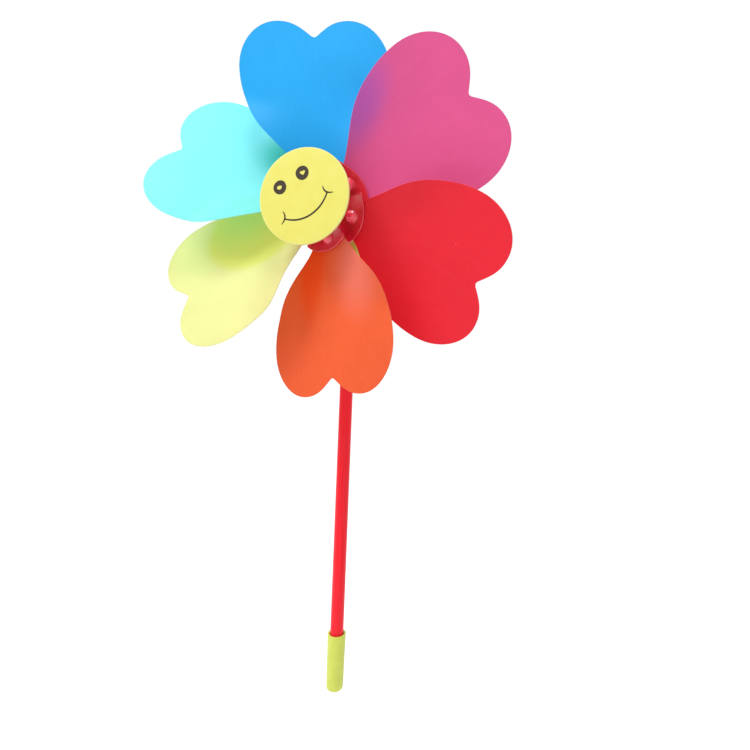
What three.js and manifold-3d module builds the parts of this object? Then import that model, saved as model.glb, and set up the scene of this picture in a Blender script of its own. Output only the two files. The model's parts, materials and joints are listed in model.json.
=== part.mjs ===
// Hand-held pinwheel: six heart-shaped petals of thin plastic sheet, pitched like the blades of
// a propeller and clamped between the two halves of a lobed hub. A smiling disc closes the front
// of the hub. The hub spins on a pin through a cap on top of a hollow stick, and a second cap
// closes the stick's lower end.
//
// Millimetres, +Z up. The origin is the centre of the flat end of the foot cap, the stick stands
// on +Z, and the wheel faces -Y.

import * as THREE from "three";
import { mergeVertices } from "three/addons/utils/BufferGeometryUtils.js";
import Module from "manifold-3d";

const wasm = await Module();
wasm.setup();

// ------------------------------------------------------------------ driving dimensions

const AXLE_HEIGHT = 324; // of the wheel's axis above the end of the foot cap
const STICK_SETBACK = 42; // of the stick's axis behind the wheel's middle plane
const FIT_GAP = 0.3; // between pieces that touch or slide
const ROUND = 28; // sides of a turned piece

const STICK = { radius: 4.6, wall: 0.9 };
const FOOT = { length: 38, topRadius: 6.3, endRadius: 5.8, floor: 6, endRound: 2 };
const HEAD = { radius: 6.3, rise: 9, skirt: 46, front: 9.9, back: 8, barrelRadius: 5 };
const AXLE = { radius: 1.5, front: 11, headRadius: 3.4, headThickness: 1.8 };
const AXLE_BORE = AXLE.radius + 0.35;

// The petals leave the hub at this pitch and lean, and each is a trough that flattens outwards.
const PITCH = radians(19);
const LEAN = radians(3.7);
const ROOT_RISE = 1.5; // of the petals' centre lines in front of the middle plane, at the axis
const TROUGH = { hub: 0.024, tip: 0.0013, from: 20, to: 70 }; // curvature across, 1/mm
const FLEX = { from: 30, to: 60 }; // the sheet bends on its own over this stretch
const SHEET = 0.5; // petal thickness
const FIRST_PETAL = radians(35.5);

// Heart outline on the flat sheet: u along the petal from the wheel's axis, v across it.
const HEART = {
  notch: { u: 105, slope: radians(42) },
  tip: { u: 116, v: 21.4 },
  widest: { u: 86, v: 46 },
  root: { u: 13, v: 7, slope: radians(20) },
};

// Each petal pivots a little on its peg, and the thin sheet twists and leans a little by itself.
// Beside the hub a hand-cut edge strays from the outline. stray is how much wider a petal is
// there, on its low and its high side.
const STRAY = { rise: { from: 14, to: 30 }, fall: { from: 46, to: 70 } };
const PETALS = [
  { name: "petal_pink", color: 0xe25a94, swing: -1.5, twist: 0, lean: -1.5, stray: [0, 0] },
  { name: "petal_blue", color: 0x34aff5, swing: 0.5, twist: 3.5, lean: -2, stray: [0, 2] },
  { name: "petal_cyan", color: 0x93fbfc, swing: 4, twist: 2.5, lean: 4, stray: [-1.5, 2.5] },
  { name: "petal_yellow", color: 0xf7f8a0, swing: -3, twist: -1.5, lean: 7, stray: [0, 5] },
  { name: "petal_orange", color: 0xf4673c, swing: 1.5, twist: -1.5, lean: 1.5, stray: [-2, 6] },
  { name: "petal_red", color: 0xe52f3a, swing: -2.8, twist: -2.5, lean: -2.5, stray: [-3, 1.5] },
];

const PEG = { u: 19.3, v: 1.9, radius: 1.6, hole: 2.1, reach: 3 };
// Each lobe's raised edge stands in front of the next lobe, which runs under it by UNDERLAP.
const LOBE = { outer: 28, inner: 10.5, thickness: 1.2, low: radians(-23), high: radians(37) };
const UNDERLAP = { angle: radians(8), from: 14.5, to: 18 };
const SEAT = { outer: 25, inner: 13.8, low: radians(-24), high: radians(34) };
const COLLAR = { outer: 14.2, inner: 12.2, low: radians(-24), high: radians(31), bottom: -4.5 };
// Share of its radius that a sector loses, or gains below 0, at its low and its high corner.
const LOBE_CORNER = { low: 0.05, high: -0.05 };
const SEAT_CORNER = { low: 0.1, high: 0.03 };
const SQUARE = { low: 0, high: 0 };
const DOME = { radius: 4.2, lift: 0.8, ceiling: 3.6 };
const BOSS = {
  foot: 0.5, floor: 5.5, top: 25.8,
  baseRadius: 11.5, shoulder: { drop: 1.4, height: 4 }, rimRadius: 9, bore: 7.4,
};
const BARREL = {
  top: -0.1, bottom: -29.5, flange: 13.5, radius: 6.2, cone: { start: 1.5, end: 6, swell: 2 },
};
const NUT = { radius: 4.4, thickness: 2 };
const WASHER = { radius: 4.6, thickness: 2 };
const PAD = { radius: 8.4, thickness: 1 };
const DISC = { radius: 28, thickness: 1.6, edge: 0.4, offset: new THREE.Vector2(-2.2, -0.8) };

// ------------------------------------------------------------------ solids

function radians(degrees) {
  return (degrees * Math.PI) / 180;
}

function signedVolume(points, triangles) {
  const corner = [new THREE.Vector3(), new THREE.Vector3(), new THREE.Vector3()];
  let volume = 0;
  for (let t = 0; t < triangles.length; t += 3) {
    corner.forEach((c, k) => c.fromArray(points, 3 * triangles[t + k]));
    volume += corner[0].dot(corner[1].cross(corner[2])) / 6;
  }
  return volume;
}

// Shares the vertices of a closed surface, drops collapsed triangles and turns its faces out.
function closed(geometry) {
  const bare = geometry.index ? geometry.toNonIndexed() : geometry.clone();
  bare.deleteAttribute("normal");
  bare.deleteAttribute("uv");
  const merged = mergeVertices(bare, 1e-4);
  const index = merged.index.array;
  const kept = [];
  for (let t = 0; t < index.length; t += 3) {
    const [a, b, c] = index.slice(t, t + 3);
    if (a !== b && b !== c && c !== a) kept.push(a, b, c);
  }
  if (signedVolume(merged.attributes.position.array, kept) < 0) kept.reverse();
  merged.setIndex(kept);
  return merged;
}

function toManifold(geometry) {
  const surface = closed(geometry);
  return new wasm.Manifold(new wasm.Mesh({
    numProp: 3,
    vertProperties: Float32Array.from(surface.attributes.position.array),
    triVerts: Uint32Array.from(surface.index.array),
  }));
}

function fromManifold(solid) {
  const mesh = solid.getMesh();
  const geometry = new THREE.BufferGeometry();
  geometry.setAttribute("position", new THREE.Float32BufferAttribute(mesh.vertProperties, 3));
  geometry.setIndex(Array.from(mesh.triVerts));
  return geometry;
}

function join(first, ...others) {
  const whole = others.reduce((sum, piece) => sum.add(toManifold(piece)), toManifold(first));
  return fromManifold(whole);
}

function cut(body, ...tools) {
  const rest = tools.reduce((sum, tool) => sum.subtract(toManifold(tool)), toManifold(body));
  return fromManifold(rest);
}

// A piece turned about Z from [radius, height] points. A bored piece's profile closes on itself.
function turned(points, sides = ROUND) {
  const profile = points.map(([radius, height]) => new THREE.Vector2(radius, height));
  if (points.every(([radius]) => radius > 0)) profile.push(profile[0].clone());
  return closed(new THREE.LatheGeometry(profile, sides).rotateX(Math.PI / 2));
}

function ring(inner, outer, bottom, top, sides = ROUND) {
  return turned([[inner, bottom], [outer, bottom], [outer, top], [inner, top]], sides);
}

function rod(radius, bottom, top, sides = ROUND) {
  return turned([[0, bottom], [radius, bottom], [radius, top], [0, top]], sides);
}

// A solid between two faces over the same grid of flat [u, v] points.
function slab(rows, frontFace, backFace) {
  const columns = rows[0].length;
  const corner = (side, i, j) => (side === 0 ? frontFace : backFace)(...rows[i][j]).toArray();
  const positions = [];
  const quad = (a, b, c, d) => {
    for (const [side, i, j] of [a, b, c, a, c, d]) positions.push(...corner(side, i, j));
  };
  for (let i = 0; i < rows.length - 1; i++) {
    for (let j = 0; j < columns - 1; j++) {
      quad([0, i, j], [0, i + 1, j], [0, i + 1, j + 1], [0, i, j + 1]);
      quad([1, i, j], [1, i, j + 1], [1, i + 1, j + 1], [1, i + 1, j]);
    }
    quad([0, i, 0], [1, i, 0], [1, i + 1, 0], [0, i + 1, 0]);
    quad([0, i, columns - 1], [0, i + 1, columns - 1], [1, i + 1, columns - 1], [1, i, columns - 1]);
  }
  for (let j = 0; j < columns - 1; j++) {
    quad([0, 0, j], [0, 0, j + 1], [1, 0, j + 1], [1, 0, j]);
    const last = rows.length - 1;
    quad([0, last, j], [1, last, j], [1, last, j + 1], [0, last, j + 1]);
  }
  const geometry = new THREE.BufferGeometry();
  geometry.setAttribute("position", new THREE.Float32BufferAttribute(positions, 3));
  return closed(geometry);
}

// ------------------------------------------------------------------ the petals' curved surface

const STIFF = { twist: 0, lean: 0 };

function easedStep(x, { from, to }) {
  const t = THREE.MathUtils.clamp((x - from) / (to - from), 0, 1);
  return t * t * (3 - 2 * t);
}

// The running total of easedStep, which is how far a line has risen whose slope eases in.
function easedRise(x, { from, to }) {
  const t = THREE.MathUtils.clamp((x - from) / (to - from), 0, 1);
  return (to - from) * (t ** 3 - t ** 4 / 2) + Math.max(x - to, 0);
}

// Places a flat point on the bent sheet, and moves it out along the sheet's normal.
// X runs out along the petal, Y across it and Z to the front of the wheel.
function onSheet(u, v, offset = 0, flex = STIFF) {
  const along = new THREE.Vector3(Math.cos(LEAN), 0, Math.sin(LEAN));
  const up = new THREE.Vector3(-Math.sin(LEAN), 0, Math.cos(LEAN));
  const bend = easedStep(u, FLEX);
  const pitch = PITCH + radians(flex.twist) * bend;
  const curvature = TROUGH.tip + (TROUGH.hub - TROUGH.tip) * (1 - easedStep(u, TROUGH));
  const side = new THREE.Vector3(0, 1, 0);
  const across = side.clone().multiplyScalar(Math.cos(pitch)).addScaledVector(up, Math.sin(pitch));
  const face = up.clone().multiplyScalar(Math.cos(pitch)).addScaledVector(side, -Math.sin(pitch));
  const normal = face.clone().addScaledVector(across, -curvature * v);
  normal.addScaledVector(along, -radians(flex.lean) * bend).normalize();
  return new THREE.Vector3(0, 0, ROOT_RISE)
    .addScaledVector(along, u)
    .addScaledVector(across, v)
    .addScaledVector(face, (curvature * v * v) / 2)
    .addScaledVector(up, radians(flex.lean) * easedRise(u, FLEX))
    .addScaledVector(normal, offset);
}

// A solid of revolution about Z, stood on the sheet at the peg.
function atPeg(geometry) {
  const foot = onSheet(PEG.u, PEG.v);
  const normal = onSheet(PEG.u, PEG.v, 1).sub(foot);
  const turn = new THREE.Quaternion().setFromUnitVectors(new THREE.Vector3(0, 0, 1), normal);
  return geometry.applyQuaternion(turn).translate(foot.x, foot.y, foot.z);
}

// ------------------------------------------------------------------ petals

function strayAt(u) {
  return easedStep(u, STRAY.rise) * (1 - easedStep(u, STRAY.fall));
}

function heartRows([strayLow, strayHigh], spansAcross = 3) {
  const { notch, tip, widest, root } = HEART;
  const circle = 0.5523; // a quarter circle's handle length over its radius
  const notchHandle = 0.45 * tip.v;
  const rootHandle = 0.405 * (widest.u - root.u);
  const curve = (...points) =>
    new THREE.CubicBezierCurve(...points.map(([u, v]) => new THREE.Vector2(u, v)));
  const notchToTip = curve(
    [notch.u, 0],
    [notch.u + notchHandle * Math.sin(notch.slope), notchHandle * Math.cos(notch.slope)],
    [tip.u, tip.v - notchHandle],
    [tip.u, tip.v],
  );
  const tipToWidest = curve(
    [tip.u, tip.v],
    [tip.u, tip.v + circle * (widest.v - tip.v)],
    [widest.u + circle * (tip.u - widest.u), widest.v],
    [widest.u, widest.v],
  );
  const widestToRoot = curve(
    [widest.u, widest.v],
    [widest.u - 0.53 * (widest.u - root.u), widest.v],
    [root.u + rootHandle * Math.cos(root.slope), root.v + rootHandle * Math.sin(root.slope)],
    [root.u, root.v],
  );
  const edge = [
    ...notchToTip.getPoints(3),
    ...tipToWidest.getPoints(4).slice(1),
    ...widestToRoot.getPoints(7).slice(1),
  ];
  return edge.map((point, i) => {
    const middle = notch.u - (notch.u - root.u) * (i / (edge.length - 1)) ** 1.2;
    const row = [];
    for (let j = -spansAcross; j <= spansAcross; j++) {
      const share = Math.abs(j) / spansAcross;
      const u = THREE.MathUtils.lerp(middle, point.x, share);
      const halfWidth = point.y + (j < 0 ? strayLow : strayHigh) * strayAt(point.x);
      row.push([u, Math.sign(j) * share * halfWidth]);
    }
    return row;
  });
}

function petalGeometry(flex) {
  const swing = radians(flex.swing);
  const pivot = new THREE.Vector2(PEG.u, PEG.v);
  const rows = heartRows(flex.stray).map((row) =>
    row.map((point) => new THREE.Vector2(...point).rotateAround(pivot, swing).toArray()));
  const half = SHEET / 2;
  const sheet = slab(
    rows,
    (u, v) => onSheet(u, v, half, flex),
    (u, v) => onSheet(u, v, -half, flex),
  );
  return cut(sheet, atPeg(rod(PEG.hole, -SHEET * 2, SHEET * 2, 8)));
}

// ------------------------------------------------------------------ hub

// Grid over a sector of the hub, from an inner to an outer radius, with rounded outer corners.
function sectorRows({ inner, outer, low, high }, steps, spans, corner = SQUARE, underlap = 0) {
  const rows = [];
  for (let i = 0; i <= steps; i++) {
    const row = [];
    for (let j = 0; j <= spans; j++) {
      const towardsHigh = (2 * j) / spans - 1;
      const loss = towardsHigh > 0 ? corner.high : corner.low;
      const reach = outer * (1 - loss * towardsHigh ** 4);
      const radius = THREE.MathUtils.lerp(inner, reach, i / steps);
      const start = low - underlap * easedStep(radius, UNDERLAP);
      const angle = THREE.MathUtils.lerp(start, high, j / spans);
      row.push([radius * Math.cos(angle), (radius * Math.sin(angle)) / Math.cos(PITCH)]);
    }
    rows.push(row);
  }
  return rows;
}

const LOBE_UNDER = SHEET / 2 + FIT_GAP; // the hub halves stand this far off the sheet's middle

function lobeGeometry() {
  const shell = slab(
    sectorRows(LOBE, 4, 6, LOBE_CORNER, UNDERLAP.angle),
    (u, v) => onSheet(u, v, LOBE_UNDER + LOBE.thickness),
    (u, v) => onSheet(u, v, LOBE_UNDER),
  );
  const dome = new THREE.SphereGeometry(DOME.radius, 10, 6).rotateX(Math.PI / 2);
  const lifted = atPeg(dome.translate(0, 0, DOME.lift));
  const below = slab(
    sectorRows(LOBE, 3, 5),
    (u, v) => onSheet(u, v, LOBE_UNDER + LOBE.thickness / 2),
    (u, v) => onSheet(u, v, -5),
  );
  const cap = cut(lifted, below);
  const socket = atPeg(rod(PEG.radius + FIT_GAP, -1, DOME.ceiling, 8));
  return cut(join(shell, cap), socket);
}

function seatGeometry() {
  const shell = slab(
    sectorRows(SEAT, 2, 5, SEAT_CORNER),
    (u, v) => onSheet(u, v, -LOBE_UNDER),
    (u, v) => onSheet(u, v, -LOBE_UNDER - LOBE.thickness),
  );
  const collar = slab(
    sectorRows(COLLAR, 1, 5),
    (u, v) => onSheet(u, v, -LOBE_UNDER),
    (u, v) => onSheet(u, v).setZ(COLLAR.bottom),
  );
  const peg = atPeg(rod(PEG.radius, -LOBE_UNDER - LOBE.thickness / 2, PEG.reach, 8));
  return join(shell, collar, peg);
}

function petalAngle(k) {
  return FIRST_PETAL + (k * Math.PI * 2) / PETALS.length;
}

function aroundHub(makePiece) {
  return PETALS.map((petal, k) => makePiece().rotateZ(petalAngle(k)));
}

function hubFrontGeometry() {
  const { foot, floor, top, baseRadius, shoulder, rimRadius, bore } = BOSS;
  const boss = turned([
    [AXLE_BORE, foot], [baseRadius, foot], [baseRadius, floor],
    [baseRadius - shoulder.drop, floor + shoulder.height],
    [rimRadius, top], [bore, top], [bore, floor], [AXLE_BORE, floor],
  ]);
  return join(boss, ...aroundHub(lobeGeometry));
}

function hubBackGeometry() {
  const { top, bottom, flange, radius, cone } = BARREL;
  const barrel = turned([
    [AXLE_BORE, top], [flange, top], [flange, COLLAR.bottom],
    [radius + cone.swell, COLLAR.bottom - cone.start], [radius, COLLAR.bottom - cone.end],
    [radius, bottom], [AXLE_BORE, bottom],
  ]);
  return join(barrel, ...aroundHub(seatGeometry));
}

// ------------------------------------------------------------------ face

const PAD_BOTTOM = BOSS.top + 0.2;
const DISC_BOTTOM = PAD_BOTTOM + PAD.thickness + 0.2;

function padGeometry() {
  return rod(PAD.radius, PAD_BOTTOM, PAD_BOTTOM + PAD.thickness);
}

function discGeometry() {
  const { radius, thickness, edge } = DISC;
  return turned([
    [0, DISC_BOTTOM], [radius - edge, DISC_BOTTOM], [radius, DISC_BOTTOM + edge],
    [radius, DISC_BOTTOM + thickness - edge], [radius - edge, DISC_BOTTOM + thickness],
    [0, DISC_BOTTOM + thickness],
  ], 48);
}

// ------------------------------------------------------------------ axle and its rings

const WASHER_TOP = BARREL.bottom - FIT_GAP;
const HEAD_BACK = -STICK_SETBACK - HEAD.back;

function axleGeometry() {
  const { radius, front, headRadius, headThickness } = AXLE;
  const seat = HEAD_BACK - FIT_GAP;
  return turned([
    [0, front], [radius - 0.4, front], [radius, front - 0.6], [radius, seat], [headRadius, seat],
    [headRadius, seat - headThickness * 0.4], [headRadius * 0.7, seat - headThickness],
    [0, seat - headThickness],
  ], 16);
}

function nutGeometry() {
  const bottom = BOSS.floor + FIT_GAP;
  return ring(AXLE.radius + FIT_GAP, NUT.radius, bottom, bottom + NUT.thickness, 16);
}

function washerGeometry() {
  return ring(AXLE_BORE, WASHER.radius, WASHER_TOP - WASHER.thickness, WASHER_TOP, 20);
}

// ------------------------------------------------------------------ stick and its two caps

const SLEEVE_BORE = STICK.radius + FIT_GAP;
const STICK_TOP = AXLE_HEIGHT - AXLE_BORE - 4;

function footGeometry() {
  const { length, topRadius, endRadius, floor, endRound } = FOOT;
  return turned([
    [0, 0], [endRadius - endRound, 0], [endRadius - 0.3 * endRound, 0.3 * endRound],
    [endRadius, endRound], [topRadius, length - 0.8], [topRadius - 0.4, length],
    [SLEEVE_BORE, length], [SLEEVE_BORE, floor], [0, floor],
  ]);
}

function stickGeometry() {
  const bottom = FOOT.floor + FIT_GAP;
  return ring(STICK.radius - STICK.wall, STICK.radius, bottom, STICK_TOP - FIT_GAP);
}

// The head is a sleeve for the stick with a short barrel across its top for the axle.
function headGeometry() {
  const { radius, rise, skirt, front, back, barrelRadius } = HEAD;
  const sleeve = turned([
    [0, rise], [radius * 0.6, rise - 0.6], [radius * 0.92, rise - 2.4], [radius, rise - 5],
    [radius, -skirt + 0.8], [radius - 0.4, -skirt], [0, -skirt],
  ]);
  const barrel = rod(barrelRadius, -back, front, 20).rotateX(Math.PI / 2);
  const axleHole = rod(AXLE_BORE, -back - 1, front + 1, 16).rotateX(Math.PI / 2);
  const socket = rod(SLEEVE_BORE, -skirt - 1, STICK_TOP - AXLE_HEIGHT);
  return cut(join(sleeve, barrel), axleHole, socket);
}

// ------------------------------------------------------------------ assembly

function piece(name, geometry, color, roughness, metalness = 0) {
  const material = new THREE.MeshStandardMaterial({ color, roughness, metalness });
  const mesh = new THREE.Mesh(geometry, material);
  mesh.name = name;
  return mesh;
}

const LIME = 0xd2dc6c;
const RED = 0xe23a48;
const CRIMSON = 0xc2283e;
const STEEL = 0xb9bcc0;

// Both groups share the wheel's axis: their Z points out of the front of the wheel.
function onWheelAxis(...pieces) {
  const group = new THREE.Group();
  group.position.set(0, -STICK_SETBACK, AXLE_HEIGHT);
  group.rotation.x = Math.PI / 2;
  group.add(...pieces);
  return group;
}

function petalMeshes() {
  return PETALS.map((petal, k) => {
    const mesh = piece(petal.name, petalGeometry(petal), petal.color, 0.45);
    mesh.rotation.z = petalAngle(k);
    return mesh;
  });
}

function discMesh() {
  const mesh = piece("face_disc", discGeometry(), 0xf6f07c, 0.5);
  mesh.position.set(DISC.offset.x, DISC.offset.y, 0);
  return mesh;
}

const head = piece("stick_head", headGeometry(), LIME, 0.4);
head.position.z = AXLE_HEIGHT;

const pinwheel = new THREE.Group();
pinwheel.add(
  piece("foot_cap", footGeometry(), LIME, 0.4),
  piece("stick", stickGeometry(), RED, 0.3),
  head,
  onWheelAxis(
    piece("axle", axleGeometry(), STEEL, 0.3, 1),
    piece("axle_push_nut", nutGeometry(), STEEL, 0.35, 1),
    piece("axle_washer", washerGeometry(), LIME, 0.4),
  ),
  onWheelAxis(
    piece("hub_front", hubFrontGeometry(), CRIMSON, 0.15),
    piece("hub_back", hubBackGeometry(), CRIMSON, 0.2),
    ...petalMeshes(),
    piece("face_pad", padGeometry(), 0xf2f2ee, 0.8),
    discMesh(),
  ),
);

export default pinwheel;
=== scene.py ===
# Fine surfaces and finishes for a hand-held pinwheel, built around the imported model.
#
# Lengths are millimetres, in the wheel's axes (x right, y up, z to the front, from the middle of
# the hub) or on the stick's axis (z up from the end of the foot cap). in_wheel and on_stick turn
# them into the frame's metres.

import json
import math

import bmesh
import bpy
import numpy as np
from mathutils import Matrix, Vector

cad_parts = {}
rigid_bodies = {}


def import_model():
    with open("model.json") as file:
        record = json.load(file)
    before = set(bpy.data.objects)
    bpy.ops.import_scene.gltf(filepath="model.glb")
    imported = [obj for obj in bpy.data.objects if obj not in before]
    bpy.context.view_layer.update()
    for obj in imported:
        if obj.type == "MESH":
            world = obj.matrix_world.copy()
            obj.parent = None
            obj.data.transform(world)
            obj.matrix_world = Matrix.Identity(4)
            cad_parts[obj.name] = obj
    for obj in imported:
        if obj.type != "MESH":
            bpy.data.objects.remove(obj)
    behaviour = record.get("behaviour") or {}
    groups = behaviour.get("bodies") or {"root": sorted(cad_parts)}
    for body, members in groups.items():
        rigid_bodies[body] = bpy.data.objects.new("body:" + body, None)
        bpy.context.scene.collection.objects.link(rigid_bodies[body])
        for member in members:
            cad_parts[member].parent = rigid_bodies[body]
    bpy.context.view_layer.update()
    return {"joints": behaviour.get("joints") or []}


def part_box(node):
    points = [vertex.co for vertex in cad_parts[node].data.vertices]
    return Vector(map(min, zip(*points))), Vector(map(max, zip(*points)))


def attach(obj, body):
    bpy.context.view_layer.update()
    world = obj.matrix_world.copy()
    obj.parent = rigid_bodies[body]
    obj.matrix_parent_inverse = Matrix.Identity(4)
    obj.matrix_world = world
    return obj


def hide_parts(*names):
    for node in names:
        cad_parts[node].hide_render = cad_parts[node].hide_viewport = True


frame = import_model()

MM = 0.001
SPIN = frame["joints"][0]
WHEEL_CENTRE = np.array(SPIN["pos_m"])
STICK_BODY, WHEEL_BODY = SPIN["parent"], SPIN["child"]

# ------------------------------------------------------------------ sizes

PITCH = math.radians(19)  # of a petal about its own line, where it leaves the hub
LEAN = math.radians(3.7)
ROOT_RISE = 1.5
TROUGH_HUB, TROUGH_TIP, TROUGH_SPAN = 0.024, 0.0013, (20, 70)  # curvature across, 1/mm
FLEX_SPAN = (30, 60)
SHEET = 0.5
FIRST_PETAL = math.radians(35.5)

NOTCH, NOTCH_SLOPE = (105, 0), math.radians(42)
NOTCH_ROUND, NOTCH_FADE = 0.8, 3  # how much its point is filled, and how fast that fades
TIP = (116, 21.4)
WIDEST = (86, 46)
ROOT, ROOT_SLOPE = (13, 7), math.radians(20)
STRAY_RISE, STRAY_FALL = (14, 30), (46, 70)  # where, by the hub, a petal's edge may lie off the heart's
CIRCLE = 0.5523  # a quarter circle's handle over its radius
NOTCH_HANDLE, WIDEST_HANDLE, ROOT_HANDLE = 0.45, 0.53, 0.405  # shares of what a curve spans

# Colours are what the eye sees, red, green and blue out of 255.
# Each patch below is light and shade painted into a sheet's colour: the shadows and coloured light that a
# neighbouring sheet casts on it or shows through it, and the lit and shaded halves of a sheet's curve. Its
# centre lies u along the petal and v across it, its reach along and across is turned from the petal's line,
# and it fades over its outer share, soft.
PETALS = [
    # pink: painted light, purple where the blue sheet's light comes through near the pink's raised edge
    dict(name="pink", colour=(231, 88, 146), swing=-1.5, twist=0, lean=-1.5, stray=(0, 0), painted_light_patches=[
        dict(u=54, v=33, along=36, across=19, turn=28, soft=0.8, colour=(192, 84, 166))]),
    dict(name="blue", colour=(34, 169, 245), swing=0.5, twist=3.5, lean=-2, stray=(0, 2), painted_light_patches=[]),
    # cyan: painted shadow, teal where the blue sheet and the disc shade it near the root
    dict(name="cyan", colour=(124, 241, 242), swing=4, twist=2.5, lean=4, stray=(-1.5, 2.5), painted_light_patches=[
        dict(u=41, v=-20, along=29, across=22, turn=0, soft=0.8, colour=(0, 184, 168))]),
    # yellow: painted shadow, green where the cyan sheet casts its shadow on it
    dict(name="yellow", colour=(230, 232, 146), swing=-3, twist=-1.5, lean=7, stray=(0, 5), painted_light_patches=[
        dict(u=92, v=-30, along=30, across=30, turn=0, soft=0.7, colour=(224, 236, 142)),
        dict(u=45, v=-22, along=42, across=31, turn=0, soft=0.2, colour=(226, 232, 108)),
        dict(u=44, v=-34, along=42, across=28, turn=0, soft=0.9, colour=(200, 230, 116))]),
    # orange: painted light and shade, a paler lit half and a deeper shaded half across its curve
    dict(name="orange", colour=(236, 90, 47), swing=1.5, twist=-1.5, lean=1.5, stray=(-2, 6), painted_light_patches=[
        dict(u=42, v=24, along=40, across=25, turn=0, soft=0.9, colour=(244, 116, 94)),
        dict(u=38, v=-12, along=44, across=13, turn=-6, soft=0.7, colour=(244, 76, 26))]),
    dict(name="red", colour=(236, 37, 52), swing=-2.8, twist=-2.5, lean=-2.5, stray=(-3, 1.5), painted_light_patches=[]),
]

PEG = dict(u=19.3, v=1.9, radius=1.6, hole=2.1, reach=3)
LOBE = dict(inner=10.5, outer=28, low=-23, high=37, low_corner=0.05, high_corner=-0.05)
SEAT = dict(inner=13.8, outer=25, low=-24, high=34, low_corner=0.1, high_corner=0.03)
COLLAR = dict(inner=12.2, outer=14.2, low=-24, high=31, low_corner=0, high_corner=0)
UNDERLAP, UNDERLAP_SPAN = 8, (14.5, 18)
HUB_WALL = 1.2
HUB_CLEAR = SHEET / 2 + 0.3  # from the sheet's middle to either half of the hub
DOME = dict(radius=4.2, lift=0.8, ceiling=3.6, fillet=1.0)
LIP = 0.45  # rounding along the hub's edges

AXLE_BORE = 1.85
STICK = dict(radius=4.6, wall=0.9)
SLEEVE_BORE = STICK["radius"] + 0.3
FOOT = dict(length=38, top_radius=6.3, end_radius=5.8, floor=6, end_round=1.6)
HEAD = dict(radius=6.3, rise=9, skirt=-46, front=9.9, back=-8, barrel_radius=5)
BOSS = dict(foot=0.5, shelf=5.5, waist=9.5, top=25.8, flange=11.5, neck=10.1, rim=9, bore=7.4)
BARREL = dict(front=-0.1, floor=-4.5, end=-29.5, flange=13.5, swell=8.2, radius=6.2)
AXLE = dict(radius=1.5, front=11, neck=-50.3, head_radius=3.4, head=1.8)
NUT = dict(bore=1.8, front=6.9, back=5.9)
WASHER = dict(radius=4.6, back=-31.8, front=-29.8)
PAD = dict(radius=8.4, pinch=0.25, back=26, front=27)
DISC = dict(radius=28, bottom=27.2, thickness=1.6, centre=(-2.2, -0.8))

# ------------------------------------------------------------------ placing points


def in_wheel(points):
    """Wheel axes in millimetres to the frame in metres."""
    x, y, z = np.moveaxis(np.asarray(points, float), -1, 0)
    return WHEEL_CENTRE + MM * np.stack((x, -z, y), axis=-1)


def on_stick(points):
    return MM * np.asarray(points, float)


def turned_about_axis(points, angle):
    c, s = math.cos(angle), math.sin(angle)
    return np.asarray(points) @ np.array(((c, s, 0), (-s, c, 0), (0, 0, 1)))


def petal_angle(k):
    return FIRST_PETAL + k * math.tau / len(PETALS)


# ------------------------------------------------------------------ the petals' curved surface


def eased(x, span):
    t = np.clip((x - span[0]) / (span[1] - span[0]), 0, 1)
    return t * t * (3 - 2 * t)


def eased_rise(x, span):
    """How far a line has risen whose slope eases in over the span."""
    t = np.clip((x - span[0]) / (span[1] - span[0]), 0, 1)
    return (span[1] - span[0]) * (t**3 - t**4 / 2) + np.maximum(x - span[1], 0)


def on_sheet(u, v, offset=0.0, twist=0.0, lean=0.0):
    """Flat points u along a petal and v across it, on the bent sheet or offset from it."""
    u, v, offset = np.broadcast_arrays(*(np.asarray(a, float) for a in (u, v, offset)))
    along = np.array((math.cos(LEAN), 0, math.sin(LEAN)))
    up = np.array((-math.sin(LEAN), 0, math.cos(LEAN)))
    side = np.array((0, 1, 0))
    bend = eased(u, FLEX_SPAN)
    pitch = (PITCH + math.radians(twist) * bend)[..., None]
    curvature = TROUGH_TIP + (TROUGH_HUB - TROUGH_TIP) * (1 - eased(u, TROUGH_SPAN))
    across = side * np.cos(pitch) + up * np.sin(pitch)
    face = up * np.cos(pitch) - side * np.sin(pitch)
    normal = face - across * (curvature * v)[..., None] - along * (math.radians(lean) * bend)[..., None]
    normal /= np.linalg.norm(normal, axis=-1, keepdims=True)
    return (
        np.array((0, 0, ROOT_RISE))
        + along * u[..., None]
        + across * v[..., None]
        + face * (curvature * v * v / 2)[..., None]
        + up * (math.radians(lean) * eased_rise(u, FLEX_SPAN))[..., None]
        + normal * offset[..., None]
    )


# ------------------------------------------------------------------ mesh tools


def new_object(name, points, faces, edge_angle=35):
    """A smooth-shaded closed mesh whose faces point out, sharp only at real edges."""
    mesh = bpy.data.meshes.new(name)
    mesh.from_pydata([tuple(p) for p in np.asarray(points).reshape(-1, 3)], [], faces)
    tidy = bmesh.new()
    tidy.from_mesh(mesh)
    bmesh.ops.remove_doubles(tidy, verts=tidy.verts, dist=1e-7)
    bmesh.ops.dissolve_degenerate(tidy, edges=tidy.edges, dist=1e-8)
    bmesh.ops.recalc_face_normals(tidy, faces=tidy.faces)
    tidy.to_mesh(mesh)
    tidy.free()
    piece = bpy.data.objects.new(name, mesh)
    bpy.context.scene.collection.objects.link(piece)
    shade(piece, edge_angle)
    return piece


def shade(piece, edge_angle):
    piece.data.shade_smooth()
    piece.data.set_sharp_from_angle(angle=math.radians(edge_angle))


def grid_quads(rows, columns, start):
    quads = []
    for i in range(rows - 1):
        for j in range(columns - 1):
            a = start + i * columns + j
            quads.append((a, a + columns, a + columns + 1, a + 1))
    return quads


def rim_indices(rows, columns):
    """The outline of a grid, once round."""
    top = [(0, j) for j in range(columns - 1)]
    right = [(i, columns - 1) for i in range(rows - 1)]
    bottom = [(rows - 1, j) for j in range(columns - 1, 0, -1)]
    left = [(i, 0) for i in range(rows - 1, 0, -1)]
    return top + right + bottom + left


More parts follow.
